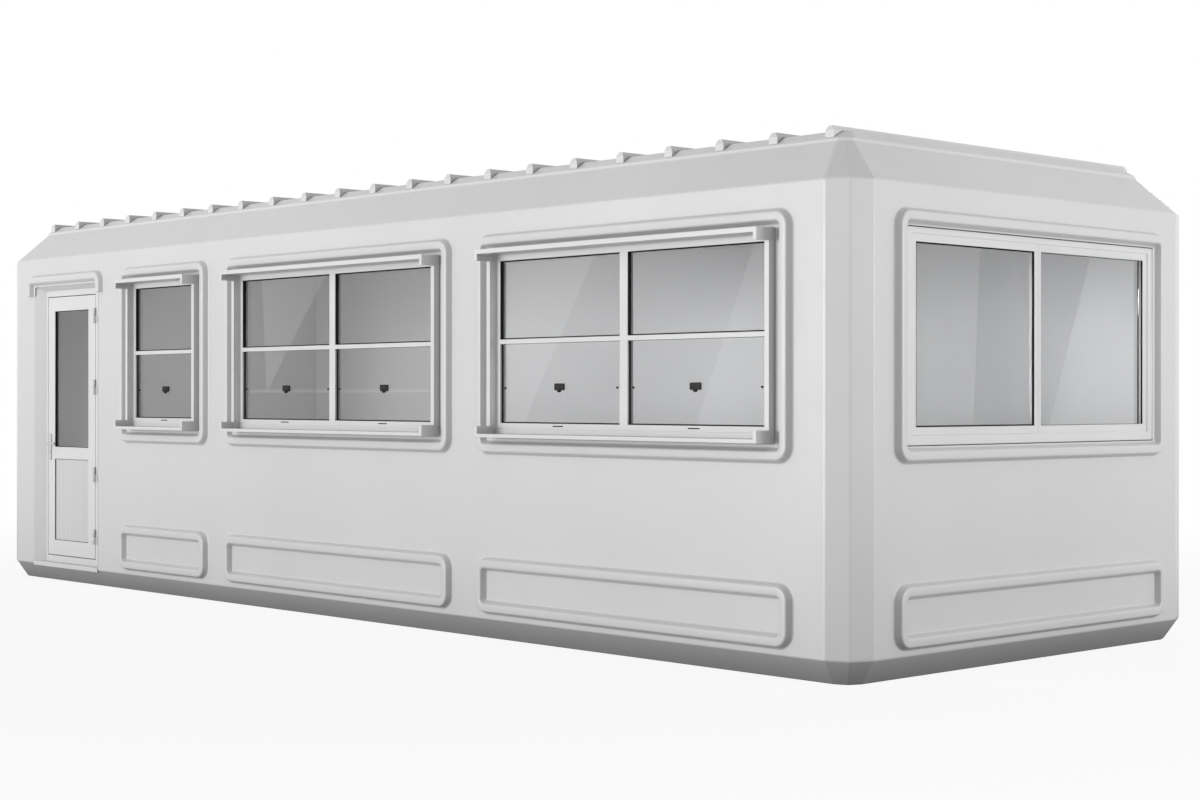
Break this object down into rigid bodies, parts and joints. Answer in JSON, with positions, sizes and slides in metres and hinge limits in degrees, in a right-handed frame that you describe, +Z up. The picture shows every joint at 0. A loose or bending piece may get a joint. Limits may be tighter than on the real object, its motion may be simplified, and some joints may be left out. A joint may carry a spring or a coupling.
{
  "type": "kiosk booth",
  "caption": "Moulded kiosk cabin with a ribbed roof, sloped eaves band, hinged glazed door, projecting window boxes and raised wall beads.",
  "frame": {"origin": "on the ground under the middle of the cabin's plan, centred between the flat long walls and between the flat end walls", "axes": "+X along the long front wall towards the end with the sliding window, front wall with the door facing -Y, +Z up"},
  "size_m": [8.476, 3.169, 2.694],
  "materials": {
    "moulded_shell": "satin white gel coat over glass fibre",
    "window_frames": "smooth white profile",
    "glass": "lightly tinted float glass",
    "black_fittings": "black moulded plastic",
    "handle_metal": "light grey lacquer",
    "floor_vinyl": "grey sheet vinyl on board"
  },
  "bodies": {
    "cabin": {"base_tray": "moulded_shell", "front_wall_left": "moulded_shell", "front_wall_over_door": "moulded_shell", "front_wall_windows": "moulded_shell", "back_wall": "moulded_shell", "left_wall": "moulded_shell", "right_wall": "moulded_shell", "wall_corners": "moulded_shell", "roof_band_front": "moulded_shell", "roof_band_back": "moulded_shell", "roof_band_left": "moulded_shell", "roof_band_right": "moulded_shell", "roof_corners": "moulded_shell", "roof_cap": "moulded_shell", "roof_ribs": "moulded_shell", "front_wall_beads": "moulded_shell", "right_wall_beads": "moulded_shell", "left_wall_beads": "moulded_shell", "back_wall_beads": "moulded_shell", "door_hood": "moulded_shell", "door_surround": "moulded_shell", "door_sill": "moulded_shell", "door_frame": "window_frames", "door_stop": "window_frames", "window_1_frame": "window_frames", "window_2_frame": "window_frames", "window_3_frame": "window_frames", "window_1_box": "window_frames", "window_2_box": "window_frames", "window_3_box": "window_frames", "right_window_frame": "window_frames", "right_window_sashes": "window_frames", "window_1_glass": "glass", "window_2_glass": "glass", "window_3_glass": "glass", "right_window_glass": "glass", "window_latches": "black_fittings", "door_hinge_pins": "handle_metal", "floor_panel": "floor_vinyl"},
    "door": {"door_leaf": "window_frames", "door_glass": "glass", "door_panel": "window_frames", "door_handle_plate": "handle_metal", "door_hinge_knuckles": "handle_metal"},
    "lever": {"door_lever": "handle_metal"}
  },
  "joints": [
    {"name": "door_hinge", "type": "hinge", "parent": "cabin", "child": "door", "pos_m": [-2.9625, -1.452, 1.155], "axis": [0, 0, 1], "range_deg": [0, 105]},
    {"name": "lever_turn", "type": "hinge", "parent": "door", "child": "lever", "pos_m": [-3.63, -1.44, 1.022], "axis": [0, 1, 0], "range_deg": [0, 40]}
  ]
}
